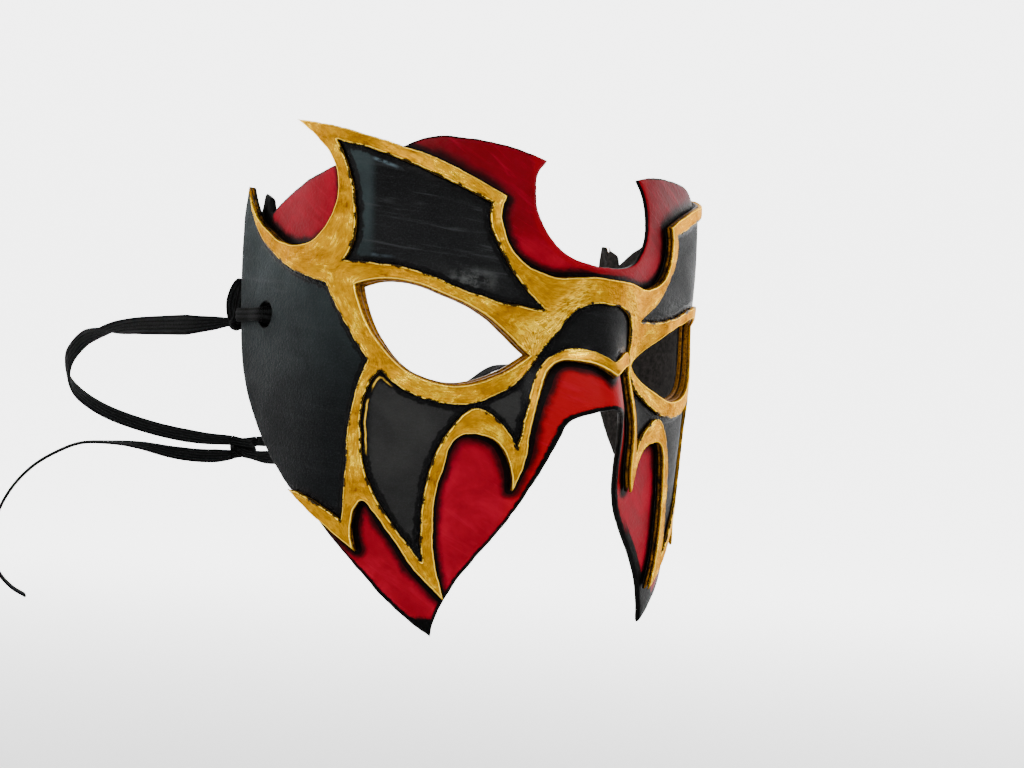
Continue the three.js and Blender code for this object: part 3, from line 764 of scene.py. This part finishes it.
def gold_paint():
    shade, flat, edge, outer, away, level = ply_shade("gold_paint")
    flat = through(shade, flat, outer)
    streaks = brushed(shade, flat, 4.5, 1.2)
    fine = brushed(shade, flat, 1.6, 0.3)
    patches = shade.noise(flat, 0.09, 5, 0.65, 0.6)
    tone = shade.plus(shade.times(streaks, 0.25), shade.times(fine, 0.3))
    tone = shade.plus(tone, shade.times(patches, 0.45))
    colour = shade.ramp(
        tone,
        [
            (0.38, (0.11, 0.04, 0.0)),
            (0.45, (0.23, 0.1, 0.0)),
            (0.52, (0.33, 0.155, 0.0)),
            (0.6, (0.66, 0.42, 0.0)),
        ],
    )
    # Painted highlight: a bright line along the gold's rounded edges, with painted shade in a
    # darker band just inside it.
    rim = shade.within(edge, 0.12, 0.42, 0.12)
    colour = shade.mix(shade.times(rim, 0.75), colour, GOLD_RIM_HIGHLIGHT)
    groove_shade = shade.times(shade.ease(edge, 0.9, 0.45), shade.ease(edge, 0.3, 0.5))
    colour = shade.mix(shade.times(groove_shade, 0.45), colour, GOLD_GROOVE_SHADE)
    reach = shade.sway(flat, 0.3, 6, 0.75, 5.0, 0.47)
    smear = shade.ease(shade.minus(shade.attribute("from_panel"), reach), 0.2, -0.05)
    smear = shade.times(smear, shade.ease(outer, 0.8, 1.0))
    # The ridge from the inner corner of the eye up to the brow is worked most, and a painted
    # highlight lies along it.
    ridge = shade.plus(away, shade.times(level, 0.75))
    ridge = shade.times(shade.within(ridge, 20, 27, 3), shade.within(away, 7, 24, 3))
    ridge_highlight = shade.times(ridge, shade.ease(fine, 0.42, 0.6))
    colour = shade.mix(shade.times(ridge_highlight, 0.8), colour, GOLD_RIDGE_HIGHLIGHT)
    colour = shade.mix(shade.ease(outer, 0.98, 0.7, 0.0, 0.75), colour, GOLD_WALL)
    colour = shade.mix(smear, colour, SMEARED_BLACK)
    shade.set("Base Color", colour)
    shade.set("Metallic", shade.minus(0.9, shade.times(smear, 0.9)))
    shade.set("Specular Tint", (1.0, 0.62, 0.05, 1))
    shade.set("Specular IOR Level", 0.12)
    shade.set("Roughness", shade.ease(tone, 0.38, 0.6, 0.44, 0.25))
    crinkle = shade.noise(flat, 0.42, 4, 0.62, 1.2)
    lumps = shade.noise(flat, 1.4, 2, 0.5)
    worked = shade.ease(shade.noise(flat, 0.06, 2, 0.5), 0.42, 0.6, 0.35, 1.5)
    worked = shade.plus(worked, shade.times(ridge, 1.2))
    normal = shade.bump(shade.times(crinkle, worked), 0.5)
    normal = shade.bump(streaks, 0.22, normal)
    normal = shade.bump(fine, 0.1, normal)
    normal = shade.bump(shade.times(lumps, shade.ease(edge, 1.4, 0.2)), 0.28, normal)
    shade.set("Normal", normal)
    return shade.material


# ---- Leather ----
def pores(shade, flat):
    fine = shade.cells(flat, 1.25)
    broad = shade.noise(flat, 0.55, 3, 0.6, 0.5)
    return shade.plus(shade.times(fine, 0.5), broad)


def gilt_edge(shade, colour, outer, edge):
    """Gold paint run over a lower ply's rim, at the eye and along the frame's outline."""
    at_eye = shade.ease(shade.attribute("from_eye"), 2.2, 1.7)
    at_eye = shade.times(at_eye, shade.ease(outer, 0.01, 0.05))
    flat = through(shade, shade.attribute("flat", "Vector"), outer)
    blotch = shade.ease(shade.noise(flat, 0.28, 4, 0.6), 0.35, 0.6)
    rim = shade.ease(shade.attribute("from_gold"), 0.9, 0.4)
    rim = shade.times(rim, shade.ease(edge, 0.25, 0.05), blotch, shade.ease(outer, 0.45, 0.9))
    gilt = shade.larger(at_eye, rim)
    tone = shade.noise(flat, 1.2, 2, 0.6)
    paint = shade.ramp(tone, [(0.3, (0.035, 0.01, 0.0)), (0.65, (0.16, 0.062, 0.0))])
    return shade.mix(gilt, colour, paint), gilt


def bare_inside(shade, colour, flat, outer):
    """Plain dark leather on the side that lies on the face."""
    mottle = shade.ease(shade.noise(flat, 0.5, 5, 0.7), 0.3, 0.7)
    bare = shade.mix(mottle, (0.003, 0.0026, 0.0024, 1), (0.017, 0.0145, 0.013, 1))
    return shade.mix(shade.ease(outer, 0.05, 0.01), colour, bare)


def black_leather():
    shade, flat, edge, outer, away, level = ply_shade("black_leather")
    cloudy = shade.noise(flat, 0.05, 4, 0.6, 0.4)
    scuffs = shade.noise(shade.place(flat, (0.04, 0.5, 1), 0.12), 1.0, 4, 0.65, 0.5)
    temple = shade.ease(shade.plus(away, shade.times(level, -0.04)), 63, 66)
    # Painted sheen and shade: the temple panels are lighter and bluish towards the top and darker
    # towards the bottom. The front panels are lighter towards the cheeks, partly painted highlight
    # and partly grey wear, and darkest at the nose and the top of the forehead.
    up_temple, up_front = shade.ease(level, -30, 45), shade.ease(level, -20, 30)
    temple_sheen_and_shade = shade.mix(up_temple, (0.0008, 0.0013, 0.0016, 1), (0.015, 0.0215, 0.0225, 1))
    front_wear_and_highlight = shade.mix(up_front, (0.014, 0.014, 0.0135, 1), (0.004, 0.0042, 0.0044, 1))
    deep = shade.larger(shade.ease(level, 30, 52), shade.ease(away, 22, 12))
    front_wear_and_highlight = shade.mix(shade.times(deep, 0.85), front_wear_and_highlight, DEEP_BLACK)
    colour = shade.mix(temple, front_wear_and_highlight, temple_sheen_and_shade)
    colour = shade.mix(shade.ease(cloudy, 0.3, 0.7, 0.0, 0.45), colour, (0.001, 0.0012, 0.0014, 1))
    grainy = shade.noise(flat, 1.9, 4, 0.75)
    colour = shade.mix(shade.ease(grainy, 0.45, 0.65, 0.0, 0.16), colour, (0.03, 0.033, 0.034, 1))
    worn = shade.times(shade.ease(scuffs, 0.52, 0.72), shade.ease(level, 5, 25, 0.15, 1.0))
    colour = shade.mix(shade.times(worn, 0.5), colour, SCUFFED_GREY)
    # A worn grey patch at the lower inner end of the forehead panel.
    rub = shade.ease(shade.noise(flat, 0.35, 4, 0.7), 0.4, 0.62)
    rub = shade.times(rub, shade.within(away, 33, 44, 5), shade.within(level, 19, 24, 3))
    colour = shade.mix(shade.times(rub, 0.6), colour, RUBBED_GREY)
    # Glossy black paint beside the frame, with an uneven inner line.
    near = shade.attribute("from_panel")
    border = shade.ease(shade.plus(near, shade.sway(flat, 0.3, 3, 0.6, 2.6)), 2.1, 1.5)
    colour = shade.mix(border, colour, BORDER_BLACK)
    # The raised rim of the forehead panel catches light along its upright edge.
    rim = shade.times(
        shade.within(near, 1.9, 2.7, 0.35),
        shade.ease(away, 58, 63),
        shade.within(level, 27, 57, 2),
        shade.ease(temple, 0.9, 0.2),
        shade.ease(shade.noise(flat, 0.5, 3, 0.6), 0.32, 0.52),
    )
    colour = shade.mix(shade.times(rim, 0.8), colour, RIM_GREY)
    # A fine gold line on the outer edge of the cheek panel.
    line = shade.times(
        shade.within(near, 0.85, 1.25, 0.16),
        shade.within(away, 58.5, 66, 1),
        shade.within(level, -31, -8, 2),
        shade.ease(shade.noise(flat, 0.13, 2, 0.5), 0.4, 0.5),
    )
    colour = shade.mix(line, colour, GOLD_LINE)
    colour = shade.mix(shade.ease(edge, 0.7, 0.3), colour, EDGE_BLACK)
    colour, gilt = gilt_edge(shade, colour, outer, edge)
    shade.set("Base Color", bare_inside(shade, colour, flat, outer))
    rough = shade.ease(cloudy, 0.35, 0.65, 0.46, 0.58)
    rough = shade.minus(rough, shade.times(border, 0.12))
    rough = shade.plus(rough, shade.ease(outer, 0.35, 0.1, 0.0, 0.3))
    shade.set("Roughness", rough)
    shade.set("Metallic", shade.times(gilt, 0.6))
    shade.set("Specular IOR Level", 0.03)
    normal = shade.bump(pores(shade, flat), 0.16)
    lumps = shade.noise(flat, 0.8, 2, 0.5)
    rope = shade.times(shade.within(near, 0.3, 1.0, 0.3), shade.ease(lumps, 0.3, 0.7))
    normal = shade.bump(rope, 0.7, normal)
    normal = shade.bump(shade.plus(shade.times(border, 0.5), rim), 0.22, normal)
    normal = shade.bump(scuffs, 0.2, normal)
    normal = shade.bump(grainy, 0.12, normal)
    shade.set("Normal", normal)
    shade.set("Coat Weight", shade.times(border, 0.06))
    shade.set("Coat Roughness", 0.22)
    return shade.material


def red_leather():
    shade, flat, edge, outer, away, level = ply_shade("red_leather")
    cloudy = shade.noise(flat, 0.06, 4, 0.6, 0.5)
    strokes = shade.noise(shade.place(flat, (0.06, 0.45, 1), 0.6), 1.0, 4, 0.65, 0.8)
    tone = shade.ease(cloudy, 0.35, 0.65)
    colour = shade.mix(tone, DARK_RED, RED)
    crest = shade.times(shade.ease(level, 30, 42), shade.ease(away, 62, 52))
    colour = shade.mix(shade.times(crest, 0.75), colour, CREST_RED)
    nose = shade.times(shade.ease(away, 26, 18), shade.ease(level, 5, -4))
    colour = shade.mix(shade.times(nose, 0.8), colour, NOSE_RED)
    colour = shade.mix(shade.ease(strokes, 0.5, 0.75, 0.0, 0.35), colour, STROKE_RED)
    # Black sprayed along the frame, dense at the line and fading into the red.
    near = shade.attribute("from_front")
    drift = shade.sway(flat, 0.16, 3, 0.6, 3.2)
    sprayed = shade.ease(shade.plus(near, drift), 3.7, 1.7)
    under = shade.times(shade.within(away, 30, 52, 4), shade.ease(level, -38, -30))
    reach = shade.ease(shade.plus(near, drift), 5.2, 1.6)
    sprayed = shade.larger(sprayed, shade.times(reach, under))
    line = shade.ease(shade.plus(near, shade.times(drift, 0.2)), 1.95, 1.4)
    dark = shade.larger(shade.times(sprayed, 0.9), line)
    colour = shade.mix(dark, colour, SPRAYED_BLACK)
    # Black at the cut edges, the cheek tips and the upright tabs.
    ragged = shade.sway(flat, 0.7, 3, 0.6, 1.0)
    slant = shade.plus(away, level)
    aside = shade.ease(away, 78, 86, 0.0, 0.95)
    broad = shade.larger(shade.ease(level, -4, -14, 0.65, 0.95), aside)
    broad = shade.times(broad, shade.ease(slant, 8, -4, 1.0, 1.35))
    cut = shade.ease(shade.math("DIVIDE", shade.plus(edge, ragged), broad), 1.25, 0.8)
    # The notch's edge has only a hair line of black; the band of darker red beside it is painted
    # shade on the pared bevel.
    notch = shade.times(shade.ease(away, 24, 21), shade.ease(level, 24, 26))
    notch_edge = shade.ease(edge, 0.22, 0.12)
    cut = shade.minus(cut, shade.times(notch, shade.minus(cut, notch_edge)))
    pared = shade.times(notch, shade.ease(edge, 2.6, 2.0))
    colour = shade.mix(shade.times(pared, 0.7), colour, PARED_SHADE_RED)
    # The wearer's left cheek has a wider black line on its inner edge, and a longer tip.
    inner = shade.times(shade.ease(level, -48, -56), shade.ease(slant, -8, -16))
    cut_wide = shade.ease(shade.plus(edge, ragged), 3.6, 2.8)
    far = shade.ease(shade.part(flat, 0), -5, 5)
    cut = shade.larger(cut, shade.times(far, inner, cut_wide))
    lower = shade.times(far, shade.ease(away, 53, 44, 0.0, 12.0))
    tip_level = shade.minus(level, lower)
    tip = shade.ease(shade.plus(tip_level, shade.times(ragged, 2.0)), -79.8, -81.2)
    tab = shade.times(shade.ease(away, 109.5, 110.8), shade.ease(level, 37, 39.5))
    black = shade.larger(shade.larger(cut, tip), tab)
    colour = shade.mix(black, colour, CUT_BLACK)
    colour, gilt = gilt_edge(shade, colour, outer, edge)
    shade.set("Base Color", bare_inside(shade, colour, flat, outer))
    rough = shade.ease(cloudy, 0.35, 0.65, 0.36, 0.48)
    shade.set("Roughness", shade.plus(rough, shade.ease(outer, 0.35, 0.1, 0.0, 0.38)))
    shade.set("Metallic", shade.times(gilt, 0.6))
    shade.set("Specular IOR Level", 0.025)
    normal = shade.bump(pores(shade, flat), 0.1)
    normal = shade.bump(strokes, 0.14, normal)
    shade.set("Normal", normal)
    return shade.material


# ---- Lace ----
LACE_WIDTH, LACE_THICKNESS, LACE_RIBS, LACE_GAP = 6, 1.2, 5, 0.3
HITCH_WIDTH, HITCH_THICKNESS = 4.4, 1.6
TEMPLE_KNOT_ALONG = 6
BACK_KNOT_ACROSS = 12
# The loop behind the temple: out from the edge, away from the head and up from its wrap.
TEMPLE_LOOP = [
    [-1.6, 0.6, 0.5],
    [-3, 0.2, 7.5],
    [-3.2, -0.4, 14],
    [-1.2, 0.3, 13.4],
    [2.4, 0.9, 7.4],
    [0.9, 0.6, 1.2],
]
# Half of the reef knot, from the knot's middle.
BIGHT = [
    [6.3, 0, 3.3],
    [3.4, 1.3, 2.6],
    [-1.6, 2.2, 1.7],
    [-4.3, 0.3, 0],
    [-1.6, -2.2, -1.7],
    [3.4, -1.3, -2.6],
    [6.3, 0, -3.3],
]
KNOT_STEP = 0.35
WRAP_STEPS = 32
WRAP_TURNS = 1.6
BACK_KNOT_PLACE = [0, 133.5, -41.5]
FRONT_DEPTH_IN = GOLD_PLY + PLY_GAP
BASE_DEPTH = FRONT_DEPTH_IN + FRONT_PLY + PLY_GAP
STACK = BASE_DEPTH + BASE_PLY
TEMPLE_EDGE_ACROSS = 0.985 * HALF_GIRTH
HITCH_STAND = LACE_GAP + HITCH_THICKNESS / 2
KNOT_BEHIND = HITCH_STAND + HITCH_THICKNESS / 2 + 3 * LACE_GAP + TEMPLE_KNOT_ALONG / 2
LACE_ROUTE = [
    [84.5, 6, 5.7],
    [88.5, 25, 5.3],
    [92, 45, 4.8],
    [94, 65, 3.2],
    [95, 82, 0],
    [94.5, 98, -8],
    [87, 113, -18],
    [70, 124, -27],
    [45, 130, -34],
    [22, 132.5, -37.5],
]
FREE_END_ROUTE = [
    [12, 134.5, -45.4],
    [20, 136, -45.6],
    [32, 137, -44.6],
    [48, 136, -42],
    [63, 133, -41],
    [76, 130, -41.5],
    [86, 127.5, -45],
    [96, 126, -51],
    [104, 125, -59.5],
    [109, 125, -70],
    [110.5, 125, -82],
    [107.5, 125, -93],
    [102, 124.5, -99.5],
    [96.6, 124, -103],
]


def behind_temple(side, beyond, level):
    return formed([side * (TEMPLE_EDGE_ACROSS + beyond)], [level], [STACK / 2])[0]


def beside_back_knot(side, half):
    x, y, z = BACK_KNOT_PLACE
    beside = side * (BACK_KNOT_ACROSS / 2 + LACE_GAP)
    return np.array([x + beside, y, z + half * (LACE_WIDTH / 2 + LACE_GAP)])


def lengths_along(line):
    """The distance along a line of points at each of them."""
    return np.concatenate([[0], np.cumsum(np.linalg.norm(np.diff(line, axis=0), axis=1))])


def smooth_route(points, closed=False, gap=0.6):
    """Evenly spaced points on the centripetal curve through the given ones."""
    points = np.asarray(points, float)
    if closed:
        points = np.vstack([points[-1], points, points[:2]])
    else:
        points = np.vstack([2 * points[0] - points[1], points, 2 * points[-1] - points[-2]])
    runs = []
    for p0, p1, p2, p3 in zip(points, points[1:], points[2:], points[3:]):
        spans = (p1 - p0, p2 - p1, p3 - p2)
        d0, d1, d2 = (max(np.linalg.norm(span) ** 0.5, 1e-4) for span in spans)
        start = ((p1 - p0) / d0 - (p2 - p0) / (d0 + d1) + (p2 - p1) / d1) * d1
        end = ((p2 - p1) / d1 - (p3 - p1) / (d1 + d2) + (p3 - p2) / d2) * d1
        t = np.linspace(0, 1, 40, endpoint=False)[:, None]
        leaving = p1 * (2 * t**3 - 3 * t**2 + 1) + start * (t**3 - 2 * t**2 + t)
        runs.append(leaving + p2 * (3 * t**2 - 2 * t**3) + end * (t**3 - t**2))
    line = np.vstack(runs + [points[-2][None]])
    far = lengths_along(line)
    count = max(8, round(far[-1] / gap))
    at = np.linspace(0, far[-1], count + 1)
    return np.stack([np.interp(at, far, line[:, k]) for k in range(3)], axis=1)


def ribbon(name, line, wide, width, thickness, ribs, closed=False):
    """A flat lace with lengthwise ribs along a line of points in millimetres. wide gives the
    direction of its width at each point; width and thickness may vary along it."""
    count = len(line)
    if closed:
        along = np.roll(line, -1, axis=0) - np.roll(line, 1, axis=0)
    else:
        along = np.gradient(line, axis=0)
    along = unit(along)
    wide = unit(wide - along * (wide * along).sum(1)[:, None])
    thick = np.cross(wide, along)
    width = np.broadcast_to(width, count)
    thickness = np.broadcast_to(thickness, count)
    per_face = 6 * ribs + 1
    u = np.linspace(-1, 1, per_face)
    body = np.sqrt(np.clip(1 - np.abs(u) ** 5, 0, 1))
    furrow = 0.6 + 0.4 * np.abs(np.cos(math.pi * ribs * (u + 1) / 2))
    top = body * furrow
    section = np.concatenate([np.stack([u, top], axis=1), np.stack([u, -top], axis=1)[-2:0:-1]])
    size = len(section)
    rings = (
        line[:, None]
        + wide[:, None] * (section[:, 0] * 0.5)[None, :, None] * width[:, None, None]
        + thick[:, None] * (section[:, 1] * 0.5)[None, :, None] * thickness[:, None, None]
    )
    ring_count = count if closed else count - 1
    faces = []
    for k in range(ring_count):
        low, high = k * size, ((k + 1) % count) * size
        for j in range(size):
            after = (j + 1) % size
            faces.append((low + j, low + after, high + after, high + j))
    if not closed:
        faces.append(tuple(range(size))[::-1])
        faces.append(tuple((count - 1) * size + j for j in range(size)))
    mesh = bpy.data.meshes.new(name)
    mesh.from_pydata((rings.reshape(-1, 3) * MM).tolist(), [], faces)
    far = lengths_along(line)
    lay = mesh.attributes.new("lay", "FLOAT_VECTOR", "POINT")
    values = np.zeros((count, size, 3))
    values[..., 0] = far[:, None]
    values[..., 1] = section[:, 0] * LACE_WIDTH / 2
    values[..., 2] = np.abs(section[:, 1])
    lay.data.foreach_set("vector", values.astype(np.float32).ravel())
    mesh.shade_smooth()
    return add_object(name, mesh)


def black_lace():
    shade = Shade("black_lace")
    lay = shade.attribute("lay", "Vector")
    weave = shade.noise(shade.place(lay, (2.6, 1.1, 0)), 1.0, 2, 0.5)
    picks = shade.math("SINE", shade.times(shade.part(lay, 0), 2 * math.pi / 0.55))
    furrow = shade.part(lay, 2)
    tone = shade.ease(weave, 0.3, 0.7)
    colour = shade.mix(tone, (0.0015, 0.0017, 0.0017, 1), (0.0065, 0.007, 0.007, 1))
    # Painted shade: the furrows between the ribs and the lace's thin edges are darkened to near
    # black.
    colour = shade.mix(shade.ease(furrow, 0.93, 0.68), colour, (0.0001, 0.0001, 0.0001, 1))
    shade.set("Base Color", colour)
    shade.set("Roughness", 0.7)
    shade.set("Specular IOR Level", 0.03)
    normal = shade.bump(picks, 0.06)
    shade.set("Normal", shade.bump(weave, 0.14, normal))
    return shade.material


def turned_wide(share, side, turns):
    """The direction of a lace's width along it: upright, leaning outwards by degrees in turns,
    which lists shares of the length and the degrees there."""
    lean = np.radians(np.interp(share, *zip(*turns)))
    return np.stack([side * np.sin(lean), np.zeros(len(share)), np.cos(lean)], axis=1)


def head_lace(name, side):
    beyond = KNOT_BEHIND + TEMPLE_KNOT_ALONG / 2 + 2.5 * LACE_GAP
    start = behind_temple(side, beyond, HOLE_LEVEL - 2)
    route = np.array(LACE_ROUTE) * [side, 1, 1]
    line = smooth_route([start, *route, beside_back_knot(side, 1)])
    share = np.linspace(0, 1, len(line))
    turns = [(0, 0), (0.2, 4), (0.28, 30), (0.335, 80), (0.4, 38), (0.55, 15), (1, 0)]
    wide = turned_wide(share, side, turns)
    places = [0, 0.03, 0.09, 0.2, 0.28, 0.36, 0.9, 1]
    width = np.interp(share, places, [2.6, 4.6, 7.0, 6.4, 5.6, 5.6, 5.8, 4.4])
    thickness = np.interp(share, [0, 0.05, 0.1, 0.95, 1], [2.0, 1.5, 1.3, 1.3, 1.8])
    return ribbon(name, line, wide, width, thickness, LACE_RIBS)


def free_end(name, side):
    route = np.array(FREE_END_ROUTE) * [side, 1, 1]
    line = smooth_route([beside_back_knot(side, -1), *route])
    share = np.linspace(0, 1, len(line))[:, None]
    turn = np.clip(share / 0.45, 0, 1)
    turn = turn * turn * (3 - 2 * turn)
    wide = (1 - turn) * np.array([[0, 0, 1]]) + turn * np.array([[-0.33 * side, 0.94, 0]])
    width = np.interp(share[:, 0], [0, 0.04, 1], [4.6, 6, 6])
    piece = ribbon(name, line, wide, width, LACE_THICKNESS, LACE_RIBS)
    length = float(lengths_along(line)[-1]) * MM
    return piece, line * MM, length


def hitch(name, side):
    """The gathered lace through the temple hole and round the edge of the leather."""
    outer = FRONT_DEPTH_IN - HITCH_STAND
    inner = STACK + HITCH_STAND
    middle = (outer + inner) / 2
    edge = TEMPLE_EDGE_ACROSS
    route = [
        [HOLE_ACROSS, outer],
        [(HOLE_ACROSS + edge) / 2, outer],
        [edge, outer],
        [edge + HITCH_STAND, middle],
        [edge, inner],
        [(HOLE_ACROSS + edge) / 2, inner],
        [HOLE_ACROSS, inner],
        [HOLE_ACROSS - HITCH_STAND, middle],
    ]
    places = np.vstack([formed([side * x], [HOLE_LEVEL], [depth]) for x, depth in route])
    line = smooth_route(places, closed=True, gap=KNOT_STEP)[:-1]
    wide = np.tile([[0.0, 0.0, 1.0]], (len(line), 1))
    # It swells where it has room, inside the hole.
    swell = bell(np.linalg.norm(line - places[-1], axis=1), 0, 2.6)
    return ribbon(name, line, wide, HITCH_WIDTH + 2 * swell, HITCH_THICKNESS, 3, closed=True)


def temple_knot(name, side):
    """A half hitch pulled tight behind the temple, with its slack standing up as a small loop."""
    low = behind_temple(side, KNOT_BEHIND, HOLE_LEVEL - 2.5)
    out = behind_temple(side, KNOT_BEHIND + 1, HOLE_LEVEL - 2.5) - low
    out /= np.linalg.norm(out)
    away = np.cross(out, [0, 0, 1]) * side
    up = np.array([0, 0, 1.0])
    loop = [low + out * a + away * b + up * c for a, b, c in TEMPLE_LOOP]
    line = smooth_route(loop, closed=True, gap=KNOT_STEP)[:-1]
    wide = np.tile(away[None] * 0.8 + out[None] * 0.45, (len(line), 1))
    ring = ribbon(name, line, wide, width=3.4, thickness=1.1, ribs=3, closed=True)
    wraps = []
    for k in range(WRAP_STEPS + 1):
        turn = 2 * math.pi * WRAP_TURNS * k / WRAP_STEPS
        middle = low + out * (0.06 * k - 1.2) - up * 0.2
        wraps.append(middle + away * 1.3 * math.cos(turn) + up * 1.4 * math.sin(turn))
    coil = smooth_route(wraps, gap=KNOT_STEP)
    wide = np.tile(out[None], (len(coil), 1))
    wrap = ribbon(name + "_wrap", coil, wide, width=3.2, thickness=1.9, ribs=2)
    return [ring, wrap]


def back_knot():
    """A reef knot: each side's lace turns back through the other's."""
    x, y, z = BACK_KNOT_PLACE
    pieces = []
    for side, word in zip(SIDES, WORDS):
        bight = [[x + side * a, y + side * b, z + c] for a, b, c in BIGHT]
        line = smooth_route(bight, gap=KNOT_STEP)
        wide = np.tile([[0.0, 0.0, 1.0]], (len(line), 1))
        bend = np.clip(1 - np.abs(np.linspace(-1, 1, len(line))) * 2.2, 0, 1)[:, None]
        wide = wide * (1 - bend) + np.array([[0, 1, 0]]) * bend
        band = ribbon("back_knot_" + word, line, wide, width=4.6, thickness=2.2, ribs=4)
        pieces.append(band)
    return pieces


def dress(piece, node, material):
    piece.data.materials.append(material)
    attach(piece, "root")
    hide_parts(node)


# ---- Assembly ----
make_camera()
make_stage()
LEATHER_GAP = 1.2
GLUED = PLY_GAP - 0.05  # reaches down to the ply below
eyes = [eye_hole(side, 2 * EYE_LEDGE) for side in SIDES]
base = leather_ply(
    "visual_red_base",
    BASE_RINGS + eyes + HOLE_RINGS,
    BASE_DEPTH,
    BASE_PLY,
    rounding=0.6,
    gap=LEATHER_GAP,
    relief=lambda flat: waves(flat, 16, 0.18, 1) + waves(flat, 5, 0.05, 2),
    skive=(0.3, 2.2),
)
dress(base, "red_base", red_leather())
front = leather_ply(
    "visual_black_front",
    FRONT_RINGS + [eye_hole(side, EYE_LEDGE) for side in SIDES] + HOLE_RINGS,
    FRONT_DEPTH_IN,
    FRONT_PLY + GLUED,
    rounding=0.4,
    gap=LEATHER_GAP,
    relief=lambda flat: waves(flat, 18, 0.12, 4) + waves(flat, 6, 0.04, 5),
)
dress(front, "black_front", black_leather())
gold = leather_ply(
    "visual_gold_frame",
    GOLD_RINGS + EYE_RINGS + WINDOW_RINGS,
    0,
    GOLD_PLY + GLUED,
    rounding=0.45,
    gap=LEATHER_GAP * 0.75,
    relief=lambda flat: waves(flat, 9, 0.12, 7) + waves(flat, 3, 0.09, 8),
)
dress(gold, "gold_frame", gold_paint())

lace_look = black_lace()


def dress_lace(piece, node):
    dress(piece, node, lace_look)


for side, word in zip(SIDES, WORDS):
    dress_lace(hitch("visual_hitch_" + word, side), "hitch_" + word)
    for piece in temple_knot("visual_temple_knot_" + word, side):
        dress_lace(piece, "temple_knot_" + word)
    dress_lace(head_lace("visual_lace_" + word, side), "lace_" + word)
    end, route, length = free_end("visual_lace_end_" + word, side)
    dress_lace(end, "lace_end_" + word)
for piece in back_knot():
    dress_lace(piece, "back_knot")
